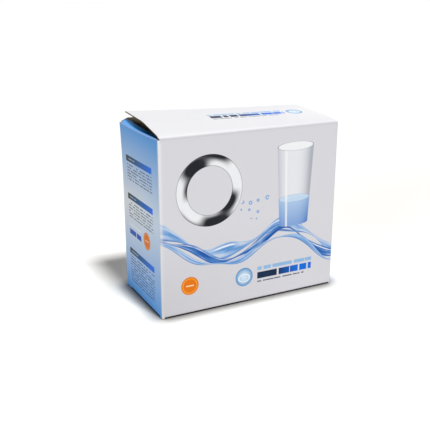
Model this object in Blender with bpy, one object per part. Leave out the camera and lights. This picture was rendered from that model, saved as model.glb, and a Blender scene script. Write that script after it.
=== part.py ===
"""Printed tuck-top carton of fine corrugated board, standing, with its lid sprung ajar.

The carton is one folded sheet: four panels round a tube, two dust flaps at the top and four
bottom flaps that hook together. The lid and its tuck flap are the part of the same sheet that
swings, so they are an object of their own, with its origin on the crease that it turns about.

Metres, +Z up, front panel at -Y. The origin is the middle of the base.
"""
import math

import bmesh
import bpy
from mathutils import Vector

# Carton, outside sizes
WIDTH = 0.180
DEPTH = 0.090
HEIGHT = 0.162

# Board and creases
BOARD = 0.0012
FOLD_INSIDE = 0.0003
GAP = 0.0003
BEND_STEPS = 3

# Glue tab inside the back panel, at the right rear corner
TAB_WIDTH = 0.014
TAB_EDGE = 0.0005
TAB_START_STEPS = 0.4

# Top edge of the back panel above the lid's crease, and the cut at its two corners
BACK_RISE = 0.0022
BACK_CORNER = 0.0080

# How near the upright corners come to the ground between the bottom creases
CORNER_FOOT = 0.0004

# Left side panel: pushed out along its top, and drawn up at the rear by its dust flap
BULGE = 0.0015
FLARE = 0.0014
REAR_LIFT = 0.0010
SPRUNG_FROM = 0.100

# Dust flaps
DUST_LENGTH = 0.042
DUST_HUMP = 0.0045
DUST_BEND = 0.0030
DUST_FRONT_INSET = 0.0025
DUST_FRONT_TAPER = 0.0060
DUST_REAR_INSET = 0.0035
DUST_SHOULDER = 0.0075
DUST_SHOULDER_STARTS = 0.6
DUST_REAR_CUT = 0.0105
DUST_REAR_TAPER = 0.0060
LEFT_DUST_FRONT = (-25.0, -25.0)
LEFT_DUST_REAR = (39.0, -33.0)
RIGHT_DUST = (-18.0, -18.0)

# Lid and tuck flap
LID_REAR_CLEAR = 0.0006
LID_SIDE_INSET = 0.0008
LID_REAR_INSET = 0.0036
LEFT_RISE = 2.6
LEFT_KICK = 12.2
LEFT_KICK_ENDS = 0.56
RIGHT_RISE = 3.6
RIGHT_KICK = 9.5
RIGHT_KICK_ENDS = 0.40
RIGHT_DROP = 36.8
RIGHT_DROP_STARTS = 0.75
TWIST_POWER = 1.3
TUCK_LENGTH = 0.022
TUCK_INSET = 0.010
TUCK_TAPER = 0.004
TUCK_CORNER = 0.012
TUCK_CORNER_STARTS = 0.4
TUCK_LEAN = 12.0

# Bottom flaps that hook together: a tongue from the front, a yoke from the back, two side flaps
BOTTOM_INSET = 0.0025
TONGUE_BODY_PAST_MIDDLE = 0.0025
TONGUE_BODY_INSET = 0.0110
TONGUE_BODY_CORNER = 0.0045
TONGUE_HALF_WIDTH = 0.038
TONGUE_TIP_HALF_WIDTH = 0.030
TONGUE_SHOULDER = 0.0040
TONGUE_REACH = 0.0115
TONGUE_CLIMB = 24.0
TONGUE_CLEAR = 0.0015
YOKE_CLIMB = 20.0
YOKE_LAP = 0.0080
YOKE_SIDE_CLEAR = 0.0035
YOKE_HALF_GAP = 0.042
YOKE_MOUTH = 0.0035
SIDE_CLIMB = 12.0
SIDE_LENGTH = 0.041
SIDE_FRONT_INSET = 0.0060
SIDE_REAR_INSET = 0.0130
SIDE_REAR_TAPER = 0.0160
CLIMB_BEND = 0.0015

# Mesh divisions
TUBE_ROWS = 10
WIDE_COLUMNS = 14
DEEP_COLUMNS = 10
LID_COLUMNS = 14
LID_ROWS = 14
TUCK_ROWS = 6
TAB_COLUMNS = 4
TONGUE_ROWS = 3
YOKE_SHOULDER_COLUMNS = 3
SMOOTH_ANGLE = 35.0

FOLD_OUTSIDE = FOLD_INSIDE + BOARD
LEVEL = BOARD + GAP
SIDE_CREASE = HEIGHT - LEVEL
SIDE_TOP = SIDE_CREASE - FOLD_OUTSIDE
FRONT_TOP = HEIGHT - FOLD_OUTSIDE - GAP
BACK_TOP = HEIGHT + BACK_RISE
CORNER_TOP = FRONT_TOP
RIGHT_ANGLE = math.radians(90.0)
UP = Vector((0.0, 0.0, 1.0))

PRINTED_WHITE = (0.80, 0.80, 0.82, 1.0)
LID_WHITE = (0.84, 0.84, 0.86, 1.0)
COATING_ROUGHNESS = 0.35


def mix(a, b, share):
    return a + (b - a) * share


def clamp(value):
    return min(1.0, max(0.0, value))


def spread(count, low, high):
    return [mix(low, high, index / (count - 1)) for index in range(count)]


class Sheet:
    """Folded board: pairs of outer and inner points joined in cells, with a cut edge all round."""

    def __init__(self):
        self.pairs = {}
        self.cells = []

    def place(self, key, outer, inner):
        self.pairs[key] = (Vector(outer), Vector(inner))

    def cell(self, *keys):
        self.cells.append(keys)

    def mesh(self, name, origin):
        shape = bmesh.new()
        outer = {}
        inner = {}
        for key, (outside, inside) in self.pairs.items():
            outer[key] = shape.verts.new(outside - origin)
            inner[key] = shape.verts.new(inside - origin)
        sides = {}
        for keys in self.cells:
            shape.faces.new([outer[key] for key in keys])
            shape.faces.new([inner[key] for key in reversed(keys)])
            for start, end in zip(keys, keys[1:] + keys[:1]):
                sides[(start, end)] = True
        for start, end in sides:
            if (end, start) not in sides:
                shape.faces.new((outer[end], outer[start], inner[start], inner[end]))
        data = bpy.data.meshes.new(name)
        shape.to_mesh(data)
        shape.free()
        return data


def fold_path(moves):
    """Walks the board's outer face through moves of (length, turn, steps).

    It starts where the crease's bend begins, heading on from its panel along q. A positive turn
    folds it inwards, towards p. Each sample is (distance walked, p, q, heading).
    """
    walked = 0.0
    heading = 0.0
    p = 0.0
    q = -FOLD_OUTSIDE
    samples = [(walked, p, q, heading)]
    for length, turn, steps in moves:
        half = turn / steps / 2.0
        chord = length / steps
        if abs(half) > 1e-9:
            chord *= math.sin(half) / half
        for _ in range(steps):
            p += math.sin(heading + half) * chord
            q += math.cos(heading + half) * chord
            heading += 2.0 * half
            walked += length / steps
            samples.append((walked, p, q, heading))
    return samples


def crease(turn):
    return (FOLD_OUTSIDE * turn, turn, BEND_STEPS)


def climb(height, degrees):
    """Moves that lift a bottom flap by height into the carton and level it again."""
    angle = math.radians(degrees)
    radius = CLIMB_BEND / angle
    straight = (height - 2.0 * radius * (1.0 - math.cos(angle))) / math.sin(angle)
    return [(CLIMB_BEND, angle, 1), (straight, 0.0, 1), (CLIMB_BEND, -angle, 1)]


def reach_of(moves):
    """How far in from the panel's outer face the moves end."""
    return fold_path(moves)[-1][1]


class Panel:
    """One wall: its outer face runs along from start, and folds point inwards from it.

    shares places the stations of its flaps, as shares of a flap's width.
    """

    def __init__(self, name, start, along, inward, length, shares, end_trim=FOLD_OUTSIDE):
        self.name = name
        self.start = Vector(start)
        self.along = Vector(along)
        self.inward = Vector(inward)
        self.length = length
        self.shares = shares
        self.end_trim = end_trim

    def positions(self, insets):
        """Distances along the panel of its columns: its two ends, and the flap's stations between."""
        stations = [mix(insets[0], self.length - insets[1], share) for share in self.shares]
        return [FOLD_OUTSIDE] + stations + [self.length - self.end_trim]

    def point(self, distance, depth, z):
        return self.start + self.along * distance + self.inward * depth + UP * z


def tabbed_shares():
    """Stations of the back panel: even, but with the glue tab's edge in place of the second.

    One more at each end marks where the cut corner of the top edge ends.
    """
    even = spread(WIDE_COLUMNS - 1, 0.0, 1.0)
    flap_width = WIDTH - 2 * BOTTOM_INSET
    corner = (BACK_CORNER - BOTTOM_INSET) / flap_width
    edge = (TAB_WIDTH - BOTTOM_INSET) / flap_width
    return [0.0, corner, edge, edge + TAB_EDGE / flap_width] + even[2:-1] + [1.0 - corner, 1.0]


DEEP_SHARES = spread(DEEP_COLUMNS - 1, 0.0, 1.0)
WIDE_SHARES = spread(WIDE_COLUMNS - 1, 0.0, 1.0)
SEAM_TRIM = BOARD + FOLD_OUTSIDE

FRONT = Panel("front", (-WIDTH / 2, -DEPTH / 2, 0), (1, 0, 0), (0, 1, 0), WIDTH, WIDE_SHARES)
RIGHT = Panel("right", (WIDTH / 2, -DEPTH / 2, 0), (0, 1, 0), (-1, 0, 0), DEPTH, DEEP_SHARES, SEAM_TRIM)
BACK = Panel("back", (WIDTH / 2, DEPTH / 2, 0), (-1, 0, 0), (0, -1, 0), WIDTH, tabbed_shares())
LEFT = Panel("left", (-WIDTH / 2, DEPTH / 2, 0), (0, -1, 0), (1, 0, 0), DEPTH, DEEP_SHARES)


def sprung(point):
    """Moves a point as the left side panel is: out along its top, and up at the rear."""
    height = clamp((point.z - SPRUNG_FROM) / (HEIGHT - SPRUNG_FROM)) ** 2
    side = clamp(-2.0 * point.x / WIDTH) ** 3
    back = clamp(point.y / DEPTH + 0.5)
    out = BULGE * math.sin(math.pi * back) + FLARE * back**2
    return point + Vector((-out, 0.0, REAR_LIFT * back**2)) * (height * side)


def add_column(sheet, key, outers, inners):
    """Puts one upright column of points, bottom to top, into the sheet."""
    for row, (outer, inner) in enumerate(zip(outers, inners)):
        sheet.place((key, row), sprung(outer), sprung(inner))


def straight_column(sheet, key, bottom, top, depth, end_depth=None):
    """A column between two points of the outer face, with the inner face at depth behind it.

    end_depth, where it differs, is the depth at the column's two ends.
    """
    outers = [bottom.lerp(top, row / TUBE_ROWS) for row in range(TUBE_ROWS + 1)]
    inners = [outer + depth for outer in outers]
    if end_depth is not None:
        inners[0] = outers[0] + end_depth
        inners[-1] = outers[-1] + end_depth
    add_column(sheet, key, outers, inners)


def corner_columns(sheet, before, after):
    """The rounded upright crease between two panels."""
    keys = []
    centre = after.start + (before.inward + after.inward) * FOLD_OUTSIDE
    for step in range(1, BEND_STEPS):
        angle = RIGHT_ANGLE * step / BEND_STEPS
        outward = -before.inward * math.cos(angle) - after.inward * math.sin(angle)
        spot = centre + outward * FOLD_OUTSIDE
        key = (after.name, "corner", step)
        straight_column(sheet, key, spot + UP * CORNER_FOOT, spot + UP * CORNER_TOP, -outward * BOARD)
        keys.append(key)
    return keys


def seam_columns(sheet):
    """The glued corner: the right panel folds in as a tab, and the back panel's cut edge laps it."""
    centre = Vector((WIDTH / 2 - FOLD_OUTSIDE, DEPTH / 2 - BOARD - FOLD_OUTSIDE, 0))
    spots = []
    for step in range(1, BEND_STEPS):
        angle = RIGHT_ANGLE * step / BEND_STEPS
        outward = Vector((math.cos(angle), math.sin(angle), 0))
        spots.append((centre + outward * FOLD_OUTSIDE, centre + outward * FOLD_INSIDE))
    lap = RIGHT_ANGLE * (BEND_STEPS - TAB_START_STEPS) / BEND_STEPS
    tab_start = centre + Vector((math.cos(lap), math.sin(lap), 0)) * FOLD_INSIDE
    spots.append((Vector((WIDTH / 2, DEPTH / 2 - BOARD, 0)), tab_start))
    spots.append((Vector((WIDTH / 2, DEPTH / 2, 0)), centre + Vector((0, FOLD_INSIDE, 0))))
    keys = []
    for index, (outer, inner) in enumerate(spots):
        key = ("seam", index)
        straight_column(sheet, key, outer + UP * CORNER_FOOT, outer + UP * CORNER_TOP, inner - outer)
        keys.append(key)
    return keys


def panel_columns(sheet, panel, top, insets_low, insets_high, doubled=0):
    """The flat columns of one panel. Its flaps grow from the inner ones.

    top gives the height of the panel's edge for a distance along it. The first doubled columns
    have the glue tab on their inside, slanted at both ends.
    """
    keys = []
    low = panel.positions(insets_low)
    high = panel.positions(insets_high)
    ends = (0, len(low) - 1)
    single = panel.inward * BOARD
    for column, (foot, head) in enumerate(zip(low, high)):
        key = (panel.name, column)
        depth = single * 2 if column < doubled else single
        bottom = panel.point(foot, 0.0, CORNER_FOOT if column in ends else FOLD_OUTSIDE)
        upper = panel.point(head, 0.0, CORNER_TOP if column in ends else top(head))
        straight_column(sheet, key, bottom, upper, depth, single)
        keys.append(key)
    return keys


def skin_columns(sheet, keys):
    """Joins neighbouring columns with cells, right round the tube."""
    for left, right in zip(keys, keys[1:] + keys[:1]):
        for row in range(TUBE_ROWS):
            sheet.cell((left, row), (right, row), (right, row + 1), (left, row + 1))


def add_flap(sheet, panel, level, upward, paths, across, leave_out=()):
    """Folds a flap from a panel's top or bottom row.

    paths has one fold path for each station. across gives, for a distance walked and a share of
    the flap's width, the distance along the panel. leave_out holds the cells that are cut away.
    """
    row = TUBE_ROWS if upward else 0
    sign = 1.0 if upward else -1.0
    last = len(paths) - 1
    for station, path in enumerate(paths):
        for index, (walked, p, q, heading) in enumerate(path):
            if index == 0:
                continue
            spot = panel.point(across(walked, panel.shares[station]), p, level + sign * q)
            normal = panel.inward * math.cos(heading) - UP * sign * math.sin(heading)
            key = (panel.name, upward, station, index)
            sheet.place(key, sprung(spot), sprung(spot + normal * BOARD))
    for station in range(last):
        for index in range(len(paths[0]) - 1):
            if (station, index) in leave_out:
                continue
            corners = []
            for column, step in ((station, index), (station + 1, index)):
                corners.append(flap_key(panel, upward, row, column, step))
            for column, step in ((station + 1, index + 1), (station, index + 1)):
                corners.append(flap_key(panel, upward, row, column, step))
            if not upward:
                corners.reverse()
            sheet.cell(*corners)
    drop_unused(sheet)


def flap_key(panel, upward, row, station, index):
    """The first sample of a flap is its panel's own edge."""
    if index == 0:
        return ((panel.name, station + 1), row)
    return (panel.name, upward, station, index)


def drop_unused(sheet):
    used = {key for keys in sheet.cells for key in keys}
    sheet.pairs = {key: pair for key, pair in sheet.pairs.items() if key in used}


def dust_path(rise, slope):
    """A dust flap's section: up or down over its crease, then a bend, then on to its tip."""
    over = math.radians(90.0 - rise)
    bend = math.radians(rise - slope)
    rest = DUST_LENGTH - DUST_HUMP - DUST_BEND
    moves = [crease(over), (DUST_HUMP, 0.0, 1), (DUST_BEND, bend, BEND_STEPS), (rest, 0.0, 4)]
    return fold_path(moves)


def dust_edges(walked):
    """How far a dust flap's edges stand in from the front and from the back."""
    share = clamp(walked / DUST_LENGTH)
    front = DUST_FRONT_INSET + DUST_FRONT_TAPER * share
    past = walked - FOLD_OUTSIDE * RIGHT_ANGLE
    shoulder = clamp((past / DUST_SHOULDER - DUST_SHOULDER_STARTS) / (1.0 - DUST_SHOULDER_STARTS))
    rear = mix(DUST_REAR_INSET, DUST_REAR_CUT, shoulder) + DUST_REAR_TAPER * share * shoulder
    return front, rear


def right_dust_across(walked, share):
    front, rear = dust_edges(walked)
    return mix(front, DEPTH - rear, share)


def left_dust_across(walked, share):
    front, rear = dust_edges(walked)
    return mix(rear, DEPTH - front, share)


def add_dust_flaps(sheet):
    right = [dust_path(*RIGHT_DUST)] * len(DEEP_SHARES)
    add_flap(sheet, RIGHT, SIDE_CREASE, True, right, right_dust_across)
    left = []
    for front_share in DEEP_SHARES:
        back_share = (1.0 - front_share) ** 2
        rise = mix(LEFT_DUST_FRONT[0], LEFT_DUST_REAR[0], back_share)
        slope = mix(LEFT_DUST_FRONT[1], LEFT_DUST_REAR[1], back_share)
        left.append(dust_path(rise, slope))
    add_flap(sheet, LEFT, SIDE_CREASE, True, left, left_dust_across)


TONGUE_BODY = DEPTH / 2 + TONGUE_BODY_PAST_MIDDLE
TONGUE_LIFT = climb(3 * LEVEL, TONGUE_CLIMB)
TONGUE_LEVEL = TONGUE_BODY - TONGUE_SHOULDER - FOLD_OUTSIDE
TONGUE_FLAT = [crease(RIGHT_ANGLE), (TONGUE_LEVEL, 0.0, TONGUE_ROWS), (TONGUE_SHOULDER, 0.0, 1)]
TONGUE_BEND = reach_of(TONGUE_FLAT + TONGUE_LIFT)
YOKE_LIFT = [crease(RIGHT_ANGLE)] + climb(2 * LEVEL, YOKE_CLIMB)
YOKE_EDGE = DEPTH - TONGUE_BEND - TONGUE_CLEAR


def add_tongue_flap(sheet):
    """The front bottom flap: a flat body on the ground, and a tongue that rides over the yoke."""
    tip = (TONGUE_REACH, 0.0, 2)
    path = fold_path(TONGUE_FLAT + TONGUE_LIFT + [tip])
    body_ends = path[BEND_STEPS + TONGUE_ROWS][0]
    tongue_starts = path[BEND_STEPS + TONGUE_ROWS + 1][0]
    tongue_ends = path[-1][0]

    def half_width(walked):
        if walked <= body_ends:
            corner = clamp((walked - FOLD_OUTSIDE) / TONGUE_BODY_CORNER)
            return WIDTH / 2 - mix(BOTTOM_INSET, TONGUE_BODY_INSET, corner)
        share = clamp((walked - tongue_starts) / (tongue_ends - tongue_starts))
        return mix(TONGUE_HALF_WIDTH, TONGUE_TIP_HALF_WIDTH, share)

    def across(walked, share):
        half = half_width(walked)
        return WIDTH / 2 + mix(-half, half, share)

    add_flap(sheet, FRONT, 0.0, False, [path] * len(FRONT.shares), across)


def add_yoke_flap(sheet):
    """The back bottom flap: two shoulders over the side flaps, cut back between for the tongue."""
    shoulder_reach = DEPTH / 2 + YOKE_LAP
    lifted = reach_of(YOKE_LIFT)
    moves = YOKE_LIFT + [(YOKE_EDGE - lifted, 0.0, 2), (shoulder_reach - YOKE_EDGE, 0.0, 2)]
    path = fold_path(moves)
    edge_walked = path[-3][0]
    end_walked = path[-1][0]
    shoulder_share = WIDE_SHARES[YOKE_SHOULDER_COLUMNS]
    first = BACK.shares.index(shoulder_share)
    last = BACK.shares.index(WIDE_SHARES[-1 - YOKE_SHOULDER_COLUMNS])

    def across(walked, share):
        side = clamp(walked / lifted)
        outer = WIDTH / 2 - mix(BOTTOM_INSET, YOKE_SIDE_CLEAR, side)
        opened = clamp((walked - edge_walked) / (end_walked - edge_walked))
        gap = YOKE_HALF_GAP + YOKE_MOUTH * opened
        even = mix(0.0, outer, 1.0 - 2.0 * shoulder_share)
        inner = mix(even, gap, clamp(walked / edge_walked))
        if share < shoulder_share:
            return WIDTH / 2 - mix(outer, inner, share / shoulder_share)
        if share > 1.0 - shoulder_share:
            return WIDTH / 2 + mix(outer, inner, (1.0 - share) / shoulder_share)
        centre = (share - shoulder_share) / (1.0 - 2.0 * shoulder_share)
        return WIDTH / 2 + mix(-inner, inner, centre)

    rows = len(path) - 1
    cut = {(station, row) for station in range(first, last) for row in (rows - 2, rows - 1)}
    add_flap(sheet, BACK, 0.0, False, [path] * len(BACK.shares), across, cut)


def add_side_flaps(sheet):
    """The two side bottom flaps, between the tongue flap's body and the yoke's shoulders."""
    lift = [crease(RIGHT_ANGLE)] + climb(LEVEL, SIDE_CLIMB)
    path = fold_path(lift + [(SIDE_LENGTH - reach_of(lift), 0.0, 3)])
    end = path[-1][0]

    def edges(walked):
        share = clamp(walked / end)
        return SIDE_FRONT_INSET, SIDE_REAR_INSET + SIDE_REAR_TAPER * share**2

    def right_across(walked, share):
        front, rear = edges(walked)
        return mix(front, DEPTH - rear, share)

    def left_across(walked, share):
        front, rear = edges(walked)
        return mix(rear, DEPTH - front, share)

    paths = [path] * len(DEEP_SHARES)
    add_flap(sheet, RIGHT, 0.0, False, paths, right_across)
    add_flap(sheet, LEFT, 0.0, False, paths, left_across)


def front_edge(distance):
    return FRONT_TOP


def side_edge(distance):
    return SIDE_TOP


def back_edge(distance):
    """The back panel's top edge, cut down to the side creases at its two corners."""
    return mix(CORNER_TOP, BACK_TOP, clamp(min(distance, WIDTH - distance) / BACK_CORNER))


def build_carton():
    sheet = Sheet()
    even = (BOTTOM_INSET, BOTTOM_INSET)
    low = (SIDE_FRONT_INSET, SIDE_REAR_INSET)
    high = (DUST_FRONT_INSET, DUST_REAR_INSET)
    keys = panel_columns(sheet, FRONT, front_edge, even, even)
    keys += corner_columns(sheet, FRONT, RIGHT)
    keys += panel_columns(sheet, RIGHT, side_edge, low, high)
    keys += seam_columns(sheet)
    keys += panel_columns(sheet, BACK, back_edge, even, even, doubled=TAB_COLUMNS)
    keys += corner_columns(sheet, BACK, LEFT)
    keys += panel_columns(sheet, LEFT, side_edge, low[::-1], high[::-1])
    keys += corner_columns(sheet, LEFT, FRONT)
    skin_columns(sheet, keys)
    add_dust_flaps(sheet)
    add_tongue_flap(sheet)
    add_yoke_flap(sheet)
    add_side_flaps(sheet)
    return sheet


def lid_slope(share, along):
    """Slope of the lid in degrees, share of the way from left to right, along from front to back."""
    left = LEFT_RISE + LEFT_KICK * math.sin(math.pi * min(1.0, along / LEFT_KICK_ENDS)) ** 2
    kick = RIGHT_KICK * clamp(1.0 - along / RIGHT_KICK_ENDS) ** 2
    drop = RIGHT_DROP * clamp((along - RIGHT_DROP_STARTS) / (1.0 - RIGHT_DROP_STARTS))
    right = RIGHT_RISE + kick - drop
    return math.radians(mix(left, right, share**TWIST_POWER))


def lid_path(share, lid_length):
    """The lid's section: over the hinge crease, along the bowed top, and down into the tuck."""
    slopes = [lid_slope(share, row / LID_ROWS) for row in range(LID_ROWS + 1)]
    moves = [crease(RIGHT_ANGLE - slopes[0])]
    for before, after in zip(slopes, slopes[1:]):
        moves.append((lid_length / LID_ROWS, before - after, 1))
    tuck_turn = RIGHT_ANGLE + slopes[-1] + math.radians(TUCK_LEAN)
    moves.append(crease(tuck_turn))
    moves.append((TUCK_LENGTH, 0.0, TUCK_ROWS))
    return fold_path(moves)


def tuck_inset(share):
    """How far the tuck's end stands in, a share of the way down it: slanted, with a round corner."""
    late = clamp((share - TUCK_CORNER_STARTS) / (1.0 - TUCK_CORNER_STARTS))
    return TUCK_INSET + TUCK_TAPER * share + TUCK_CORNER * (1.0 - math.sqrt(1.0 - late**2))


def build_lid():
    """The lid from its crease, with the hinge line along the carton's front top edge."""
    sheet = Sheet()
    top_length = DEPTH - BOARD - LID_REAR_CLEAR - 2 * FOLD_OUTSIDE
    tuck_row = BEND_STEPS + LID_ROWS
    last = LID_COLUMNS
    for column in range(last + 1):
        share = column / last
        path = lid_path(share, top_length)
        tuck_start = path[tuck_row][0]
        tuck_end = path[-1][0]
        for row, (walked, p, q, heading) in enumerate(path):
            edge = mix(LID_SIDE_INSET, LID_REAR_INSET, clamp(walked / tuck_start))
            shoulder = TUCK_INSET
            if row > tuck_row:
                shoulder = tuck_inset((walked - tuck_start) / (tuck_end - tuck_start))
            x = lid_x(column, edge, shoulder)
            spot = Vector((x, -DEPTH / 2 + p, HEIGHT + q))
            if row == tuck_row and column in (0, last):
                spot += Vector((0.0, math.sin(heading), math.cos(heading))) * FOLD_OUTSIDE
            normal = Vector((0.0, math.cos(heading), -math.sin(heading)))
            sheet.place((column, row), spot, spot + normal * BOARD)
        for row in range(len(path) - 1):
            if column == last:
                continue
            if row >= tuck_row and column in (0, last - 1):
                continue
            sheet.cell((column, row), (column + 1, row), (column + 1, row + 1), (column, row + 1))
    drop_unused(sheet)
    return sheet


def lid_x(column, edge, shoulder):
    """Columns run from the lid's left edge, through the tuck's two ends, to its right edge."""
    if column == 0:
        return -WIDTH / 2 + edge
    if column == LID_COLUMNS:
        return WIDTH / 2 - edge
    half = WIDTH / 2 - shoulder
    return mix(-half, half, (column - 1) / (LID_COLUMNS - 2))


def coated_board(name, colour):
    material = bpy.data.materials.new(name)
    material.use_nodes = True
    shader = material.node_tree.nodes["Principled BSDF"]
    shader.inputs["Base Color"].default_value = colour
    shader.inputs["Roughness"].default_value = COATING_ROUGHNESS
    shader.inputs["Metallic"].default_value = 0.0
    material.diffuse_color = colour
    return material


def add_object(name, sheet, origin, material):
    data = sheet.mesh(name, origin)
    data.materials.append(material)
    data.shade_smooth()
    data.set_sharp_from_angle(angle=math.radians(SMOOTH_ANGLE))
    piece = bpy.data.objects.new(name, data)
    piece.location = origin
    bpy.context.scene.collection.objects.link(piece)
    return piece


def main():
    for old in list(bpy.data.objects):
        bpy.data.objects.remove(old)
    base = Vector((0.0, 0.0, 0.0))
    hinge = Vector((0.0, -DEPTH / 2, HEIGHT))
    add_object("carton", build_carton(), base, coated_board("printed_board", PRINTED_WHITE))
    add_object("lid", build_lid(), hinge, coated_board("lid_board", LID_WHITE))


main()
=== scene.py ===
"""Looks of the printed carton: folded board with its print, creases and fluted cut edges.

Metres, in the part's own frame. Prints are drawn by shader maths over "flat", the place on the
unfolded sheet in millimetres, so they fold with the board and need no image.
"""

import math

import bmesh
import bpy
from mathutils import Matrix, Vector


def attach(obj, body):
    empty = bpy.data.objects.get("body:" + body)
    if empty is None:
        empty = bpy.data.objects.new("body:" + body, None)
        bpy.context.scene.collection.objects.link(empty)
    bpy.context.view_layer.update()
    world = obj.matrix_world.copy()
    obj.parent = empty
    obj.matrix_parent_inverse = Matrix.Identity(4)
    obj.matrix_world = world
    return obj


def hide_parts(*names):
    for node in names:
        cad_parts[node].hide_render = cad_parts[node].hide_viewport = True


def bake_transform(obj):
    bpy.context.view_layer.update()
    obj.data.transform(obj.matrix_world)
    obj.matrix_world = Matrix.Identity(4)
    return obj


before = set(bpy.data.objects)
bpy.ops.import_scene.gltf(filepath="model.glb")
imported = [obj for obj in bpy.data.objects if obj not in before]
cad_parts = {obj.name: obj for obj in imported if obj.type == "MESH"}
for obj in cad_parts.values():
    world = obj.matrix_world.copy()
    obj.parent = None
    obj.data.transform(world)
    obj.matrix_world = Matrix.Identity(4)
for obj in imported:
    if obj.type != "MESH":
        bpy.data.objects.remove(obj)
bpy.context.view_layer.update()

# Walls, as in the part's source
WIDTH = 0.180
DEPTH = 0.090
HEIGHT = 0.162
BOARD = 0.0012
FOLD_INSIDE = 0.0003
GAP = 0.0003
TAB_WIDTH = 0.014
BACK_RISE = 0.0022
BACK_CORNER = 0.0080
BULGE = 0.0015
FLARE = 0.0014
REAR_LIFT = 0.0010
SPRUNG_FROM = 0.100

# Foot of the walls: the corners all but touch the ground, and the creases between them stand off it
CORNER_FOOT = 0.0001
FRONT_LIFT = 0.0009
SIDE_LIFT = 0.0006
DIP_LENGTH = 0.0042
DIP_BEND = 0.0006

# Dust flaps, as in the part's source
DUST_LENGTH = 0.042
DUST_HUMP = 0.0045
DUST_BEND = 0.0030
DUST_FRONT_INSET = 0.0025
DUST_FRONT_TAPER = 0.0060
DUST_REAR_INSET = 0.0035
DUST_SHOULDER = 0.0075
DUST_SHOULDER_STARTS = 0.6
DUST_REAR_CUT = 0.0105
DUST_REAR_TAPER = 0.0060
LEFT_DUST_FRONT = (-25.0, -25.0)
LEFT_DUST_REAR = (39.0, -33.0)
RIGHT_DUST = (-18.0, -18.0)

# Lid and tuck, as in the part's source
LID_REAR_CLEAR = 0.0006
LID_SIDE_INSET = 0.0008
LID_REAR_INSET = 0.0036
RIGHT_RISE = 3.6
RIGHT_KICK = 9.5
RIGHT_KICK_ENDS = 0.40
RIGHT_DROP = 36.8
RIGHT_DROP_STARTS = 0.75
TWIST_POWER = 1.3
TUCK_LENGTH = 0.022
TUCK_INSET = 0.010
TUCK_TAPER = 0.004
TUCK_CORNER = 0.012
TUCK_CORNER_STARTS = 0.4
TUCK_LEAN = 12.0

# The lid's left edge, which springs up from the crease and rises a little sooner than the part's
LEFT_RISE = 2.66
LEFT_KICK = 7.34
LEFT_KICK_FALLS = 0.39
LEFT_KICK_ENDS = 0.53
LEFT_SPRING = 20.0
LEFT_SPRING_ENDS = 0.10

# Bottom flaps, as in the part's source
BOTTOM_INSET = 0.0025
TONGUE_BODY_PAST_MIDDLE = 0.0025
TONGUE_BODY_INSET = 0.0110
TONGUE_BODY_CORNER = 0.0045
TONGUE_HALF_WIDTH = 0.038
TONGUE_TIP_HALF_WIDTH = 0.030
TONGUE_SHOULDER = 0.0040
TONGUE_REACH = 0.0115
TONGUE_CLIMB = 24.0
TONGUE_CLEAR = 0.0015
YOKE_CLIMB = 20.0
YOKE_LAP = 0.0080
YOKE_SIDE_CLEAR = 0.0035
YOKE_HALF_GAP = 0.042
YOKE_MOUTH = 0.0035
SIDE_CLIMB = 12.0
SIDE_LENGTH = 0.041
SIDE_FRONT_INSET = 0.0060
SIDE_REAR_INSET = 0.0130
SIDE_REAR_TAPER = 0.0160
CLIMB_BEND = 0.0015

# Mesh divisions, finer than the part's
BEND_STEPS = 6
CLIMB_STEPS = 4
TUBE_ROWS = 60
WIDE_STATIONS = 61
DEEP_STATIONS = 31
EDGE_COLUMNS = 2
TAB_COLUMNS = 4
LID_ROWS = 60
TUCK_ROWS = 14
RIM_COLUMNS = 4
HINGE_ROWS = 2
HUMP_ROWS = 3
DUST_ROWS = 14
DIP_STEPS = 2
TONGUE_ROWS = 14
TONGUE_TIP_ROWS = 4
YOKE_ROWS = 12
YOKE_CUT_ROWS = 6
YOKE_SHOULDER = 0.25
SIDE_ROWS = 12
SHARP_ANGLE = 38.0

# The slot cut beside each flap, and the glued lap of the seam
NICK = 0.0006
GLUE = 0.00005
TAB_SLANT = 0.6

# Board seen at its cut edges: liner, a waved paper set back a little, liner
LINER_SHARE = 0.17
CHANNEL = 0.0005
FLUTE_PITCH = 0.0024
FLUTE_STEPS = 8
FLUTE_CREST = 0.54
FLUTE_PAPER = 0.12
FLUTE_SET_BACK = 0.08

FOLD_OUTSIDE = FOLD_INSIDE + BOARD
LEVEL = BOARD + GAP
SIDE_CREASE = HEIGHT - LEVEL
SIDE_TOP = SIDE_CREASE - FOLD_OUTSIDE
FRONT_TOP = HEIGHT - FOLD_OUTSIDE - GAP
BACK_TOP = HEIGHT + BACK_RISE
CORNER_TOP = FRONT_TOP
RIGHT_ANGLE = math.radians(90.0)
UP = Vector((0.0, 0.0, 1.0))
MM = 1000.0

OUTSIDE, INSIDE, EDGE = range(3)
RING = ((0, 0), (1, 0), (1, 1), (0, 1))


def mix(a, b, share):
    return a + (b - a) * share


def clamp(value):
    return min(1.0, max(0.0, value))


def spread(count, low, high):
    return [mix(low, high, index / (count - 1)) for index in range(count)]


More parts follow.
